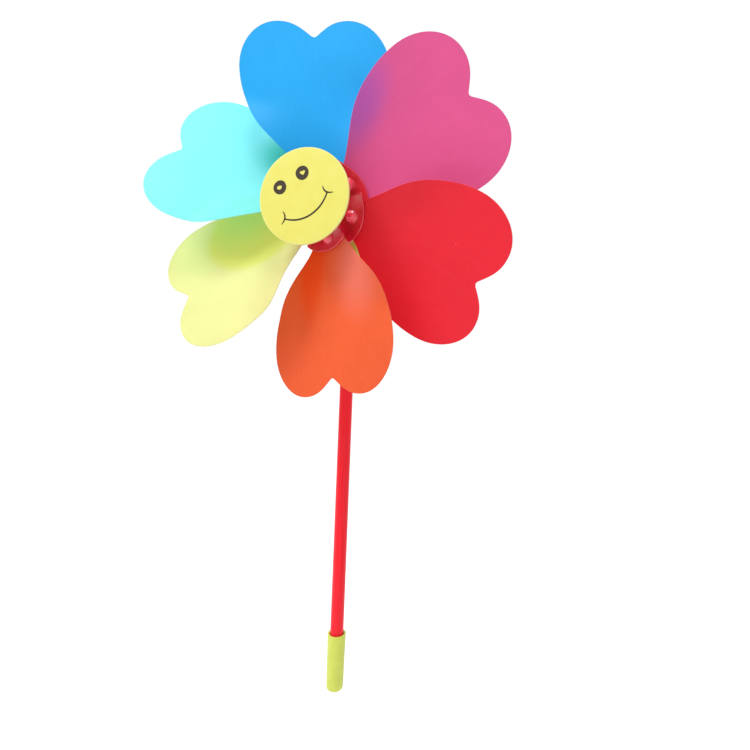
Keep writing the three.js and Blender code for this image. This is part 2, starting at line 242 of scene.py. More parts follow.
def slab(front, back, bulge=0.0):
    """Points and faces of a solid between two faces over one grid. Its rim can bulge outwards."""
    rows, columns = front.shape[:2]
    size = rows * columns
    rim = rim_indices(rows, columns)
    middle = []
    for i, j in rim:
        inner = (min(max(i, 1), rows - 2), min(max(j, 1), columns - 2))
        out = front[i, j] - front[inner]
        out = out / max(np.linalg.norm(out), 1e-9)
        middle.append((front[i, j] + back[i, j]) / 2 + bulge * out)
    points = np.concatenate((front.reshape(-1, 3), back.reshape(-1, 3), middle))
    faces = grid_quads(rows, columns, 0)
    faces += [quad[::-1] for quad in grid_quads(rows, columns, size)]
    count = len(rim)
    for k in range(count):
        n = (k + 1) % count
        a, b = (rim[k][0] * columns + rim[k][1], rim[n][0] * columns + rim[n][1])
        faces.append((a, b, 2 * size + n, 2 * size + k))
        faces.append((2 * size + k, 2 * size + n, size + b, size + a))
    return points, faces


def rounded(corners, steps=5):
    """A profile of (radius, height, rounding) corners, with an arc in place of each rounded one."""
    points = []
    for k, (r, z, rounding) in enumerate(corners):
        here = np.array((r, z), float)
        if not rounding:
            points.append(here)
            continue
        before = np.array(corners[k - 1][:2], float) - here
        after = np.array(corners[(k + 1) % len(corners)][:2], float) - here
        before, after = (side / np.linalg.norm(side) for side in (before, after))
        half = math.acos(np.clip(before @ after, -1, 1)) / 2
        reach = rounding / math.tan(half)
        centre = here + (before + after) / np.linalg.norm(before + after) * rounding / math.sin(half)
        start = here + before * reach - centre
        finish = here + after * reach - centre
        sweep = math.pi - 2 * half
        for s in range(steps + 1):
            t = s / steps
            points.append(centre + (start * math.sin((1 - t) * sweep) + finish * math.sin(t * sweep))
                          / math.sin(sweep))
    return points


def lathe(name, corners, place, sides=96, spans=None):
    """A piece turned about z. spans cuts long straight stretches so that no face is a long sliver."""
    profile = rounded(corners)
    closed = all(r > 0 for r, z in profile)
    if spans:
        ends = profile + ([profile[0]] if closed else [])
        profile = [ends[0]]
        for a, b in zip(ends, ends[1:]):
            cuts = max(1, math.ceil(np.linalg.norm(b - a) / spans))
            profile += [a + (b - a) * c / cuts for c in range(1, cuts + 1)]
        if closed:
            profile.pop()
    angles = np.arange(sides) * math.tau / sides
    points = [(r * math.cos(a), r * math.sin(a), z) for r, z in profile for a in angles]
    rows = len(profile)
    faces = []
    for i in range(rows if closed else rows - 1):
        for j in range(sides):
            a, b = i * sides, ((i + 1) % rows) * sides
            n = (j + 1) % sides
            faces.append((a + j, b + j, b + n, a + n))
    return new_object(name, place(points), faces)


def combined(base, others, operation):
    """base joined with or cut by other closed pieces, which are used up."""
    for other in others:
        modifier = base.modifiers.new(operation, "BOOLEAN")
        modifier.operation = operation
        modifier.solver = "EXACT"
        modifier.object = other
    apply_modifiers(base)
    for other in others:
        bpy.data.objects.remove(other)
    shade(base, 35)
    return base


def apply_modifiers(piece):
    bpy.context.view_layer.update()
    evaluated = piece.evaluated_get(bpy.context.evaluated_depsgraph_get())
    mesh = bpy.data.meshes.new_from_object(evaluated)
    mesh.name = piece.name
    piece.modifiers.clear()
    piece.data = mesh


def melted(piece, voxel, passes):
    """Blends a joined piece's inner corners into fillets, as a mould does."""
    remesh = piece.modifiers.new("remesh", "REMESH")
    remesh.mode = "VOXEL"
    remesh.voxel_size = voxel * MM
    relax = piece.modifiers.new("relax", "SMOOTH")
    relax.factor = 0.5
    relax.iterations = passes
    apply_modifiers(piece)
    shade(piece, 60)
    return piece


# ------------------------------------------------------------------ petals


def bezier(a, b, c, d, steps):
    t = np.linspace(0, 1, steps + 1)[:, None]
    a, b, c, d = (np.array(p, float) for p in (a, b, c, d))
    return a * (1 - t) ** 3 + 3 * b * t * (1 - t) ** 2 + 3 * c * t**2 * (1 - t) + d * t**3


def heart_edge():
    """Half of the heart's outline, from the notch between its lobes round to its root."""
    notch_handle = NOTCH_HANDLE * TIP[1]
    root_handle = ROOT_HANDLE * (WIDEST[0] - ROOT[0])
    past_widest = (WIDEST[0] - WIDEST_HANDLE * (WIDEST[0] - ROOT[0]), WIDEST[1])
    out_of_notch = (NOTCH[0] + notch_handle * math.sin(NOTCH_SLOPE), notch_handle * math.cos(NOTCH_SLOPE))
    into_root = (ROOT[0] + root_handle * math.cos(ROOT_SLOPE), ROOT[1] + root_handle * math.sin(ROOT_SLOPE))
    to_tip = bezier(NOTCH, out_of_notch, (TIP[0], TIP[1] - notch_handle), TIP, 16)
    to_widest = bezier(
        TIP,
        (TIP[0], TIP[1] + CIRCLE * (WIDEST[1] - TIP[1])),
        (WIDEST[0] + CIRCLE * (TIP[0] - WIDEST[0]), WIDEST[1]),
        WIDEST,
        18,
    )
    to_root = bezier(WIDEST, past_widest, into_root, ROOT, 34)
    rounding_off = NOTCH_ROUND * np.exp(-to_tip[:, 1] / NOTCH_FADE)
    to_tip[:, 0] = NOTCH[0] + np.hypot(to_tip[:, 0] - NOTCH[0], rounding_off)
    return np.concatenate((to_tip, to_widest[1:], to_root[1:]))


def heart_grid(stray, spans=14):
    """Flat points over the heart. stray is how much wider its low and high side are by the hub."""
    crowding = 1.2  # above 1, the rows lie closer together by the notch
    edge = heart_edge()
    share = np.abs(np.arange(-spans, spans + 1)) / spans
    side = np.sign(np.arange(-spans, spans + 1))
    down = np.linspace(0, 1, len(edge)) ** crowding
    middle = edge[0, 0] - (edge[0, 0] - ROOT[0]) * down
    u = middle[:, None] + (edge[:, :1] - middle[:, None]) * share
    by_hub = eased(edge[:, :1], STRAY_RISE) * (1 - eased(edge[:, :1], STRAY_FALL))
    half_width = edge[:, 1:] + by_hub * np.where(side < 0, stray[0], stray[1])
    return u, half_width * side * share


def swung(u, v, swing):
    """Turns flat points about the petal's peg."""
    c, s = math.cos(math.radians(swing)), math.sin(math.radians(swing))
    du, dv = u - PEG["u"], v - PEG["v"]
    return PEG["u"] + c * du - s * dv, PEG["v"] + s * du + c * dv


def sheet_ripple(u, v, k):
    """Slow waves that a thin sheet holds, away from the hub's clamp, different on each petal."""
    height, along, across, slanting = 0.16, 17, 14, 11  # the waves repeat every tau times these
    square = np.sin(u / along + 1.7 * k) * np.cos(v / across - 0.9 * k)
    return height * (square + 0.6 * np.sin((u + v) / slanting + k)) * eased(u, FLEX_SPAN)


def at_peg(points):
    """Stands points on the sheet at the peg, with z along its normal."""
    foot = on_sheet(PEG["u"], PEG["v"])
    normal = on_sheet(PEG["u"], PEG["v"], 1.0) - foot
    turn = Vector((0, 0, 1)).rotation_difference(Vector(normal)).to_matrix()
    return np.asarray(points) @ np.array(turn).T + foot


def make_petal(k, petal, sheet_material, edge_material):
    u, v = swung(*heart_grid(petal["stray"]), petal["swing"])
    bend = dict(twist=petal["twist"], lean=petal["lean"])
    ripple = sheet_ripple(u, v, k)
    angle = petal_angle(k)
    front = turned_about_axis(on_sheet(u, v, ripple + SHEET / 2, **bend), angle)
    back = turned_about_axis(on_sheet(u, v, ripple - SHEET / 2, **bend), angle)
    points, faces = slab(front, back, bulge=SHEET / 5)
    name = "sheet_" + petal["name"]
    piece = new_object(name, in_wheel(points), faces, edge_angle=30)
    piece.data.materials.append(sheet_material)
    piece.data.materials.append(edge_material)
    mark_rim(piece)

    def place_hole(hole):
        return in_wheel(turned_about_axis(at_peg(hole), angle))

    radius, past = PEG["hole"], 4 * SHEET
    corners = [(0, -past, 0), (radius, -past, 0), (radius, past, 0), (0, past, 0)]
    combined(piece, [lathe("hole", corners, place_hole, sides=32)], "DIFFERENCE")
    return placed(piece, WHEEL_BODY, name, "petal_" + petal["name"])


def mark_rim(piece):
    """Gives the second material to the narrow faces round a petal's outline."""
    narrow, edge_on = 0.7 * SHEET * MM, 0.75
    front = Vector((0, -1, 0))
    for face in piece.data.polygons:
        corners = [piece.data.vertices[i].co for i in face.vertices]
        sides = [(corners[n] - corners[n - 1]).length for n in range(len(corners))]
        if min(sides) < narrow and abs(face.normal.dot(front)) < edge_on:
            face.material_index = 1


# ------------------------------------------------------------------ hub


def edge_spread(length, middle_steps):
    """Distances along a hub wall, close together at both rounded ends."""
    ends = np.array((0, 0.08, 0.3, 0.62, 1)) * LIP
    middle = np.linspace(LIP, length - LIP, middle_steps + 1)
    return np.concatenate((ends[:-1], middle, length - ends[-2::-1]))


def sector(shape, radial_steps, angular_steps, underlap=0.0):
    """Flat grid over a sector of the hub, and each point's distance from the sector's edge."""
    reach_mm = shape["outer"] - shape["inner"]
    arc_mm = math.radians(shape["high"] - shape["low"]) * shape["outer"]
    out = edge_spread(reach_mm, radial_steps)[:, None] / reach_mm
    round_ = edge_spread(arc_mm, angular_steps)[None, :] / arc_mm
    towards = 2 * round_ - 1
    loss = np.where(towards > 0, shape["high_corner"], shape["low_corner"]) * towards**4
    radius = shape["inner"] + (shape["outer"] * (1 - loss) - shape["inner"]) * out
    low = shape["low"] - underlap * eased(radius, UNDERLAP_SPAN)
    angle = np.radians(low + (shape["high"] - low) * round_)
    u, v = radius * np.cos(angle), radius * np.sin(angle) / math.cos(PITCH)
    edge = np.minimum(np.minimum(out, 1 - out) * reach_mm, np.minimum(round_, 1 - round_) * arc_mm)
    return u, v, np.broadcast_to(edge, u.shape)


def rounding(edge):
    """How far a wall's face falls back near its edge."""
    short = np.clip(LIP - edge, 0, LIP)
    return LIP - np.sqrt(LIP**2 - short**2)


def soft_maximum(a, b, blend):
    near = np.clip(blend - np.abs(a - b), 0, None) / blend
    return np.maximum(a, b) + near * near * blend / 4


def lobe_solid(k):
    """One lobe of the front shell: a thin wall over a petal's root with a dome over its peg."""
    u, v, edge = sector(LOBE, radial_steps=40, angular_steps=70, underlap=UNDERLAP)
    reach = np.hypot(u - PEG["u"], v - PEG["v"])
    top = HUB_CLEAR + HUB_WALL
    dome = DOME["lift"] + np.sqrt(np.clip(DOME["radius"] ** 2 - reach**2, 0, None))
    outside = soft_maximum(dome, np.full_like(dome, top), DOME["fillet"]) - rounding(edge)
    clear_of_peg = (PEG["radius"] + 0.3, PEG["radius"] + 0.8)
    socket = (DOME["ceiling"] - HUB_CLEAR) * (1 - eased(reach, clear_of_peg))
    inside = HUB_CLEAR + socket + rounding(edge)
    angle = petal_angle(k)
    front = turned_about_axis(on_sheet(u, v, outside), angle)
    back = turned_about_axis(on_sheet(u, v, inside), angle)
    points, faces = slab(front, back)
    return new_object(f"lobe_{k}", in_wheel(points), faces)


def boss_solid():
    """The tube in the middle of the front shell, open to the front round the axle's end."""
    foot, shelf, waist, top = BOSS["foot"], BOSS["shelf"], BOSS["waist"], BOSS["top"]
    flange, neck, rim, bore = BOSS["flange"], BOSS["neck"], BOSS["rim"], BOSS["bore"]
    corners = [
        (AXLE_BORE, foot, 0.2), (flange, foot, 0.3), (flange, shelf, 0.8), (neck, waist, 3),
        (rim, top, 0.4), (bore, top, 0.3), (bore, shelf, 0.6), (AXLE_BORE, shelf, 0.2),
    ]
    return lathe("hub_front_shell", corners, in_wheel, sides=96, spans=1.2)


def make_hub_front(material):
    shell = combined(boss_solid(), [lobe_solid(k) for k in range(len(PETALS))], "UNION")
    shell.data.materials.append(material)
    return placed(shell, WHEEL_BODY, "hub_crimson", "hub_front")


def seat_solids(k):
    """One seat of the back shell: the wall under a petal, the collar below it and its peg."""
    angle = petal_angle(k)

    def place(points):
        return in_wheel(turned_about_axis(points, angle))

    u, v, edge = sector(SEAT, radial_steps=14, angular_steps=34)
    seat, seat_faces = slab(
        on_sheet(u, v, -HUB_CLEAR - rounding(edge)),
        on_sheet(u, v, -HUB_CLEAR - HUB_WALL + rounding(edge)),
    )
    u, v, edge = sector(COLLAR, radial_steps=2, angular_steps=30)
    under = on_sheet(u, v)
    under[..., 2] = BARREL["floor"]
    collar, collar_faces = slab(on_sheet(u, v, -HUB_CLEAR), under)
    radius, reach = PEG["radius"], PEG["reach"]
    root = -HUB_CLEAR - HUB_WALL / 2
    peg = [(0, root, 0), (radius, root, 0), (radius, reach, 0.5), (0, reach, 0)]
    return [
        new_object(f"seat_{k}", place(seat), seat_faces),
        new_object(f"collar_{k}", place(collar), collar_faces),
        lathe(f"peg_{k}", peg, lambda points: place(at_peg(points)), sides=32),
    ]


def make_hub_back(material):
    front, floor, end = BARREL["front"], BARREL["floor"], BARREL["end"]
    flange, swell, radius = BARREL["flange"], BARREL["swell"], BARREL["radius"]
    corners = [
        (AXLE_BORE, front, 0.2), (flange, front, 0.3), (flange, floor, 0.6), (swell, floor - 1.5, 1.5),
        (radius, floor - 6, 2), (radius, end, 0.5), (AXLE_BORE, end, 0.25),
    ]
    barrel = lathe("hub_back_shell", corners, in_wheel, sides=96, spans=1.2)
    solids = [solid for k in range(len(PETALS)) for solid in seat_solids(k)]
    shell = combined(barrel, solids, "UNION")
    shell.data.materials.append(material)
    return placed(shell, WHEEL_BODY, "hub_crimson", "hub_back")


# ------------------------------------------------------------------ face

PRINT_TURN = math.radians(29)
PRINT_RAISE, PRINT_SINK = 0.06, 0.05  # above and below the disc's face
EYES = dict(centre=(-2.5, 12.1), spacing=15.8, radius=4.1, spot=1.35)
MOUTH = dict(centre=(-1.1, -5.9), width=29.5, sag=6.2, stroke=1.05)
CHEEK = [(14.0, 4.6), (12.6, -0.1), (18.0, -1.9)]  # a curved tick's ends and handle, from the centre


def on_face(points, height):
    """Flat points on the disc's printed face, its own right and up, to the frame."""
    points = np.asarray(points, float)
    flat = turned_about_axis(np.c_[points, np.zeros(len(points))], PRINT_TURN)
    flat[:, :2] += DISC["centre"]
    flat[:, 2] = DISC["bottom"] + DISC["thickness"] + height
    return in_wheel(flat)


def printed(name, left, right):
    """A film of ink between two lines of flat points."""
    left, right = np.asarray(left, float), np.asarray(right, float)
    middle = (left + right) / 2
    rows = []
    for height in (PRINT_RAISE, -PRINT_SINK):
        rows.append(np.stack([on_face(line, height) for line in (left, middle, right)], axis=1))
    return slab(rows[0], rows[1])


def joined_print(name, films, material):
    """One printed piece of several films. It stands for no CAD node."""
    points, faces = [], []
    for film_points, film_faces in films:
        start = len(points)
        points += [tuple(p) for p in film_points]
        faces += [tuple(i + start for i in face) for face in film_faces]
    piece = new_object(name, points, faces)
    piece.data.materials.append(material)
    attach(piece, WHEEL_BODY)
    return piece


def make_eye(name, side, material):
    """A ring with a light spot in it, both a little out of round. side is -1 left, 1 right."""
    centre = np.array(EYES["centre"]) + (side * EYES["spacing"] / 2, 0)
    turn = np.linspace(0, math.tau, 73)
    way = np.c_[np.cos(turn), np.sin(turn)]
    outer = centre + way * (EYES["radius"] * (1 + 0.012 * np.sin(3 * turn)))[:, None]
    oval, pointed = 0.16, 0.2 if side > 0 else 0.05  # shares of the spot's radius
    uneven = oval * np.cos(2 * turn + 0.6) + pointed * np.cos(3 * turn - 0.9)
    spot = centre + (0.3 * side, 0.05) + way * (EYES["spot"] * (1 + uneven))[:, None]
    return joined_print(name, [printed(name, spot, outer)], material)


def stroke(line, widths):
    """The left and the right side of a pen stroke along a line."""
    line = np.asarray(line, float)
    run = np.gradient(line, axis=0)
    across = np.c_[-run[:, 1], run[:, 0]] / np.linalg.norm(run, axis=1)[:, None]
    half = np.asarray(widths)[:, None] / 2
    return line - across * half, line + across * half


def make_mouth(material):
    """An arc, thinner at its ends, with a curved tick across each end."""
    half, sag = MOUTH["width"] / 2, MOUTH["sag"]
    radius = (half**2 + sag**2) / (2 * sag)
    sweep = math.asin(half / radius)
    turn = np.linspace(-sweep, sweep, 81)
    centre = np.array(MOUTH["centre"])
    arc = centre + np.c_[radius * np.sin(turn), radius - sag - radius * np.cos(turn)]
    widths = MOUTH["stroke"] * (0.75 + 0.25 * np.cos(turn / sweep * math.pi / 2) ** 0.5)
    films = [printed("smile", *stroke(arc, widths))]
    t = np.linspace(0, 1, 31)[:, None]
    start, handle, finish = (np.array(p) for p in CHEEK)
    tick = start * (1 - t) ** 2 + 2 * handle * t * (1 - t) + finish * t**2
    tick_width = MOUTH["stroke"] * (0.3 + 0.65 * np.sin(np.pi * t[:, 0]) ** 0.8)
    for side in (-1, 1):
        films.append(printed("cheek", *stroke(centre + tick * (side, 1), tick_width)))
    return joined_print("print_smile", films, material)


def make_disc(material):
    radius, bottom, top = DISC["radius"], DISC["bottom"], DISC["bottom"] + DISC["thickness"]
    corners = [(0, bottom, 0), (radius, bottom, 0.35), (radius, top, 0.45), (0, top, 0)]

    def place(points):
        return in_wheel(np.asarray(points) + (*DISC["centre"], 0))

    disc = lathe("smiling_disc", corners, place, sides=160, spans=2.0)
    disc.data.materials.append(material)
    return placed(disc, WHEEL_BODY, "face_yellow", "face_disc")


def make_pad(material):
    radius, back, front = PAD["radius"], PAD["back"], PAD["front"]
    corners = [
        (0, back, 0), (radius, back, 0.25), (radius - PAD["pinch"], (back + front) / 2, 0),
        (radius, front, 0.25), (0, front, 0),
    ]
    pad = lathe("foam_tape", corners, in_wheel, sides=96, spans=0.8)
    pad.data.materials.append(material)
    return placed(pad, WHEEL_BODY, "white_foam", "face_pad")


# ------------------------------------------------------------------ axle and stick


def make_axle(material):
    radius, front, neck = AXLE["radius"], AXLE["front"], AXLE["neck"]
    head_radius, end = AXLE["head_radius"], neck - AXLE["head"]
    corners = [
        (0, front, 0), (radius, front, 0.5), (radius, neck, 0.1), (head_radius, neck, 0.3),
        (head_radius, neck - 0.8, 0.5), (head_radius - 1.2, end, 0.6), (0, end, 0),
    ]
    axle = lathe("axle_pin", corners, in_wheel, sides=48, spans=3)
    axle.data.materials.append(material)
    return placed(axle, STICK_BODY, "steel_pin", "axle")


def make_push_nut(material):
    """A pressed ring that grips the axle, with a flared rim."""
    bore, back, front = NUT["bore"], NUT["back"], NUT["front"]
    corners = [
        (bore, back, 0.1), (bore + 2.1, back - 0.1, 0.2), (bore + 2.6, front + 0.7, 0.15),
        (bore + 2.2, front + 0.9, 0.1), (bore + 1.5, front - 0.3, 0.3), (bore, front, 0.1),
    ]
    nut = lathe("push_nut", corners, in_wheel, sides=64)
    nut.data.materials.append(material)
    return placed(nut, STICK_BODY, "steel_pin", "axle_push_nut")


def make_washer(material):
    radius, back, front = WASHER["radius"], WASHER["back"], WASHER["front"]
    corners = [(AXLE_BORE, back, 0.2), (radius, back, 0.6), (radius, front, 0.6), (AXLE_BORE, front, 0.2)]
    washer = lathe("spacer_washer", corners, in_wheel, sides=64)
    washer.data.materials.append(material)
    return placed(washer, STICK_BODY, "lime_plastic", "axle_washer")


def make_stick(material):
    low, high = (corner.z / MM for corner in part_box("stick"))
    bore, outside = STICK["radius"] - STICK["wall"], STICK["radius"]
    corners = [(bore, low, 0.15), (outside, low, 0.25), (outside, high, 0.25), (bore, high, 0.15)]
    stick = lathe("hollow_stick", corners, on_stick, sides=72, spans=4)
    stick.data.materials.append(material)
    return placed(stick, STICK_BODY, "stick_red", "stick")


def make_foot(material):
    end, top, floor, length = FOOT["end_radius"], FOOT["top_radius"], FOOT["floor"], FOOT["length"]
    corners = [
        (0, 0, 0), (end, 0, FOOT["end_round"]), (top, length, 0.4),
        (SLEEVE_BORE, length, 0.4), (SLEEVE_BORE, floor, 0.4), (0, floor, 0),
    ]
    foot = lathe("foot_sleeve", corners, on_stick, sides=96, spans=1.5)
    foot.data.materials.append(material)
    return placed(foot, STICK_BODY, "lime_plastic", "foot_cap")


def make_head(material):
    """The sleeve on the stick's top end, joined to the level barrel that holds the axle."""
    axle_height = WHEEL_CENTRE[2] / MM

    def upright(points):
        return on_stick(np.asarray(points) + (0, 0, axle_height))

    def level(points):
        x, y, z = np.moveaxis(np.asarray(points, float), -1, 0)
        return on_stick(np.stack((x, -z, y + axle_height), axis=-1))

    radius, rise, skirt = HEAD["radius"], HEAD["rise"], HEAD["skirt"]
    front, back, across = HEAD["front"], HEAD["back"], HEAD["barrel_radius"]
    past = 1.0  # how far a cutting tool runs past the face that it opens
    roof = -AXLE_BORE - 4  # of the socket, below the axle's bore
    outside = [(0, rise, 0), (radius, rise, 0.8 * radius), (radius, skirt, 0.5), (0, skirt, 0)]
    sleeve = lathe("stick_head_cap", outside, upright, sides=96, spans=2)
    outside = [(0, back, 0), (across, back, 0.7), (across, front, 0.7), (0, front, 0)]
    barrel = lathe("barrel", outside, level, sides=72, spans=2)
    ends = (back - past, front + past)
    inside = [(0, ends[0], 0), (AXLE_BORE, ends[0], 0), (AXLE_BORE, ends[1], 0), (0, ends[1], 0)]
    bore = lathe("bore", inside, level, sides=48, spans=2)
    mouth = skirt - past
    inside = [(0, mouth, 0), (SLEEVE_BORE, mouth, 0), (SLEEVE_BORE, roof, 0), (0, roof, 0)]
    socket = lathe("socket", inside, upright, sides=72)
    head = combined(sleeve, [barrel], "UNION")
    head = combined(head, [bore, socket], "DIFFERENCE")
    melted(head, voxel=0.3, passes=5)
    head.data.materials.append(material)
    return placed(head, STICK_BODY, "lime_plastic", "stick_head")


def placed(piece, body, slot, *nodes):
    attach(piece, body)
    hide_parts(*nodes)
    return piece


# ------------------------------------------------------------------ finishes


def linear(colour):
    """A seen colour out of 255 as light."""
    share = [c / 255 for c in colour]
    return [s / 12.92 if s <= 0.04045 else ((s + 0.055) / 1.055) ** 2.4 for s in share]


LIGHT_LEVEL = 1.25  # what the studio adds up to on a surface that faces the front


def surface_colour(seen):
    """The colour to paint so that it is seen as meant under the studio's light."""
    return (*(min(c / LIGHT_LEVEL, 1) for c in linear(seen)), 1)


def sheet_colour(seen):
    """As surface_colour, for a thin sheet whose two faces each pass half of the light."""
    return (*(2 * c / (1 + c) for c in surface_colour(seen)[:3]), 1)


class Finish:
    """A material under construction. Its methods add nodes, and most return an output."""

    def __init__(self, name):
        self.material = bpy.data.materials.new(name)
        self.material.use_nodes = True
        self.tree = self.material.node_tree
        self.surface = self.tree.nodes["Principled BSDF"]
        self.output = self.tree.nodes["Material Output"]
        self.place = self.node("ShaderNodeTexCoord").outputs["Object"]

    def node(self, kind, inputs=(), **settings):
        node = self.tree.nodes.new(kind)
        for key, value in settings.items():
            setattr(node, key, value)
        for key, value in dict(inputs).items():
            if isinstance(value, bpy.types.NodeSocket):
                self.tree.links.new(value, node.inputs[key])
            else:
                node.inputs[key].default_value = value
        return node

    def set(self, **values):
        """Sets the surface's sockets by name, with _ for a space."""
        for key, value in values.items():
            socket = self.surface.inputs[key.replace("_", " ")]
            if isinstance(value, bpy.types.NodeSocket):
                self.tree.links.new(value, socket)
            else:
                socket.default_value = value

    def turned_place(self, centre, rotation=(0, 0, 0), scale=(1, 1, 1)):
        """Coordinates from a point, along turned axes, drawn out where scale is above 1."""
        inputs = {"Vector": self.place, "Location": centre, "Rotation": rotation, "Scale": scale}
        return self.node("ShaderNodeMapping", inputs, vector_type="TEXTURE").outputs["Vector"]

    def nearness(self, centre, turn, along, across, soft):
        """1 around a point, 0 past the reach along and across a line turned from the wheel's x,
        fading over the outer share of it."""
        reach = [r * MM for r in (along, along, across)]
        near = self.turned_place(centre, (0, -turn, 0), reach)
        far = self.node("ShaderNodeVectorMath", {0: near}, operation="LENGTH").outputs["Value"]
        return self.span(far, 1, 1 - soft, smooth=True)

    def noise(self, size, detail=2.0, roughness=0.5, place=None):
        """Soft noise whose blobs are about size millimetres across."""
        inputs = {"Vector": place or self.place, "Scale": 1 / (size * MM)}
        inputs.update({"Detail": detail, "Roughness": roughness})
        return self.node("ShaderNodeTexNoise", inputs).outputs["Fac"]

    def span(self, value, low, high, to_low=0.0, to_high=1.0, smooth=False):
        inputs = {"Value": value, "From Min": low, "From Max": high, "To Min": to_low, "To Max": to_high}
        kind = "SMOOTHSTEP" if smooth else "LINEAR"
        return self.node("ShaderNodeMapRange", inputs, interpolation_type=kind).outputs["Result"]

    def product(self, a, b):
        return self.node("ShaderNodeMath", {0: a, 1: b}, operation="MULTIPLY").outputs[0]

    def total(self, a, b):
        return self.node("ShaderNodeMath", {0: a, 1: b}, operation="ADD").outputs[0]

    def blend(self, share, first, second):
        node = self.node("ShaderNodeMix", {0: share, 6: first, 7: second}, data_type="RGBA")
        return node.outputs[2]

    def specks(self, spacing, radius, rarity):
        """Round dots of a given radius, scattered at random."""
        node = self.node("ShaderNodeTexVoronoi", {"Vector": self.place, "Scale": 1 / (spacing * MM)})
        dot = self.span(node.outputs["Distance"], radius / spacing, 0.5 * radius / spacing, smooth=True)
        red = self.node("ShaderNodeSeparateColor", {"Color": node.outputs["Color"]}).outputs["Red"]
        return self.product(dot, self.span(red, rarity, rarity + 0.02))

    def bump(self, height, depth):
        """Relief from a 0 to 1 height, depth millimetres deep."""
        inputs = {"Height": height, "Distance": depth * MM, "Strength": 1.0}
        self.set(Normal=self.node("ShaderNodeBump", inputs).outputs["Normal"])


def sheet_finish(k, petal):
    """Calendered plastic sheet: satin, a little see-through, with faint rolling lines and dust, and with
    painted light and shade in patches.
    """
    finish = Finish("sheet_" + petal["name"])
    colour = sheet_colour(petal["colour"])
    deep = sheet_colour([0.975 * c for c in petal["colour"]])
    pale = sheet_colour([255 - 0.93 * (255 - c) for c in petal["colour"]])
    spin = (0, -petal_angle(k), 0)
    rolled = finish.turned_place(WHEEL_CENTRE, spin, (12, 1, 1))
    cloud = finish.noise(30, 2)
    lines = finish.noise(0.9, 2, place=rolled)
    tone = finish.blend(finish.span(cloud, 0.35, 0.65), deep, colour)
    tone = finish.blend(finish.span(lines, 0.45, 0.75, 0, 0.3), tone, pale)
    # Painted light and shade: each patch blends a neighbour's shadow or seen-through colour, or the shading
    # of the sheet's curve, into the sheet's colour.
    for painted_patch in petal["painted_light_patches"]:
        centre = in_wheel(turned_about_axis(on_sheet(painted_patch["u"], painted_patch["v"]), petal_angle(k)))
        turn = petal_angle(k) + math.radians(painted_patch["turn"])
        share = finish.nearness(centre, turn, painted_patch["along"], painted_patch["across"], painted_patch["soft"])
        tone = finish.blend(share, tone, sheet_colour(painted_patch["colour"]))
    dust = finish.specks(7, 0.3, 0.7)
    tone = finish.blend(finish.product(dust, 0.3), tone, (0.9, 0.92, 0.92, 1))
    rough = finish.total(finish.span(lines, 0.3, 0.7, 0.4, 0.48), finish.product(dust, 0.2))
    finish.set(Base_Color=tone, Roughness=rough, Specular_IOR_Level=0.25)
    grain = finish.noise(0.35, 2)
    relief = finish.total(finish.product(grain, 0.35), finish.product(lines, 0.65))
    finish.bump(finish.total(relief, finish.product(dust, 2.0)), 0.012)
    through = finish.node("ShaderNodeBsdfTranslucent", {"Color": tone})
    mix = finish.node("ShaderNodeMixShader", {0: 0.5, 1: finish.surface.outputs[0], 2: through.outputs[0]})
    finish.tree.links.new(mix.outputs[0], finish.output.inputs["Surface"])
    return finish.material


def cut_edge_finish(petal):
    """The die-cut edge of a sheet, paler and rougher than its faces."""
    finish = Finish("edge_" + petal["name"])
    pale = surface_colour([255 - 0.72 * (255 - c) for c in petal["colour"]])
    body = surface_colour(petal["colour"])
    burr = finish.noise(0.5, 3, 0.6)
    finish.set(Base_Color=finish.blend(finish.span(burr, 0.35, 0.65), body, pale))
    finish.set(Roughness=0.5, Specular_IOR_Level=0.3)
    finish.bump(burr, 0.03)
    return finish.material


def hub_finish():
    """Glossy, slightly see-through crimson moulding with flow marks, and a painted highlight round the top
    of each dome.
    """
    finish = Finish("crimson_moulding")
    flow = finish.noise(7, 3, 0.55, finish.turned_place(WHEEL_CENTRE, (0, 0, 0), (1, 3, 1)))
    dark, light = surface_colour((212, 22, 44)), surface_colour((236, 40, 66))
    tone = finish.blend(finish.span(flow, 0.3, 0.7), dark, light)
    # Painted highlight: each dome's top is painted a lighter crimson, as though lit.
    for k in range(len(PETALS)):
        dome = in_wheel(turned_about_axis(on_sheet(PEG["u"], PEG["v"], DOME["radius"]), petal_angle(k)))
        share = finish.nearness(dome, 0, 1.5 * DOME["radius"], 1.5 * DOME["radius"], 0.6)
        tone = finish.blend(share, tone, surface_colour((255, 58, 88)))
    scuffs = finish.noise(0.8, 4, 0.65)
    finish.set(Base_Color=tone, Roughness=finish.span(scuffs, 0.35, 0.75, 0.2, 0.32))
    finish.set(Specular_IOR_Level=0.6, Coat_Weight=0.5, Coat_Roughness=0.12)
    finish.set(Subsurface_Weight=0.25, Subsurface_Scale=0.002, Subsurface_Radius=(1.0, 0.16, 0.18))
    finish.bump(finish.total(finish.product(flow, 0.8), finish.product(scuffs, 0.2)), 0.05)
    return finish.material


